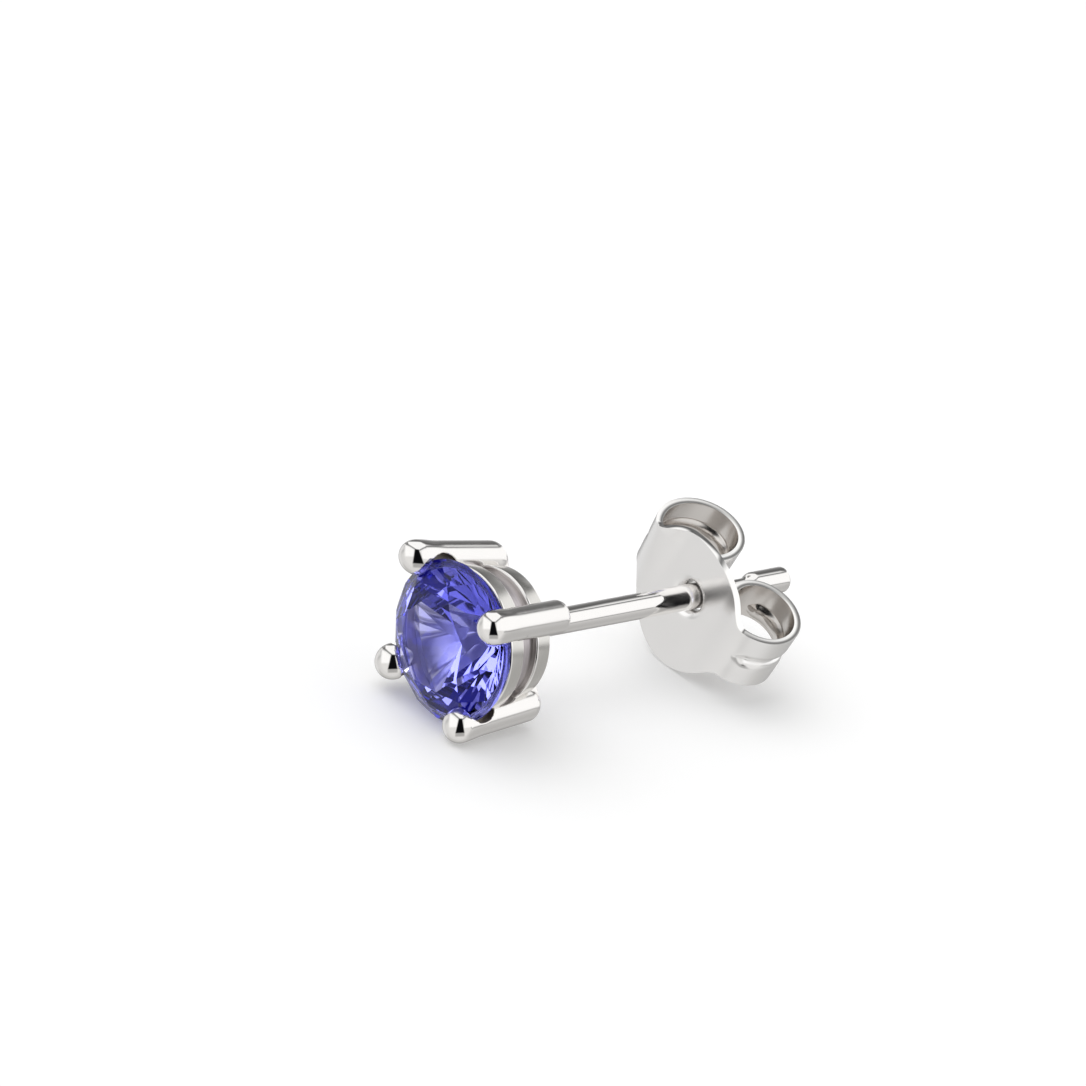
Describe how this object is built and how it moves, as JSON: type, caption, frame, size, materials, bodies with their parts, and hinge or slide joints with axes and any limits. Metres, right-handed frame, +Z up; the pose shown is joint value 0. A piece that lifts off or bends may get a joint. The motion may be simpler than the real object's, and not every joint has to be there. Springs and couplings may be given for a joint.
{
  "type": "stud earring",
  "caption": "Stud earring: a round faceted violet stone held by ball-tipped prongs in a railed basket, on a straight notched post with a sliding butterfly clutch.",
  "frame": {"origin": "middle of the footprint, on the surface that the stud lies on", "axes": "+X from the stone along the post to its tip, within a third of a degree; +Z up; the table of the stone faces -X"},
  "size_m": [0.0146, 0.0062, 0.005],
  "materials": {
    "violet_stone": "polished facets",
    "polished_silver": "rhodium-bright polish",
    "polished_silver_back": "soft polish on stamped sheet"
  },
  "bodies": {
    "head": {"setting": "polished_silver", "stone": "violet_stone"},
    "clutch": {"butterfly_back": "polished_silver_back"}
  },
  "joints": [
    {"name": "clutch_slide", "type": "slide", "parent": "head", "child": "clutch", "axis": [1, 0, 0.0052], "range_m": [-0.0066, 0.0044]}
  ]
}
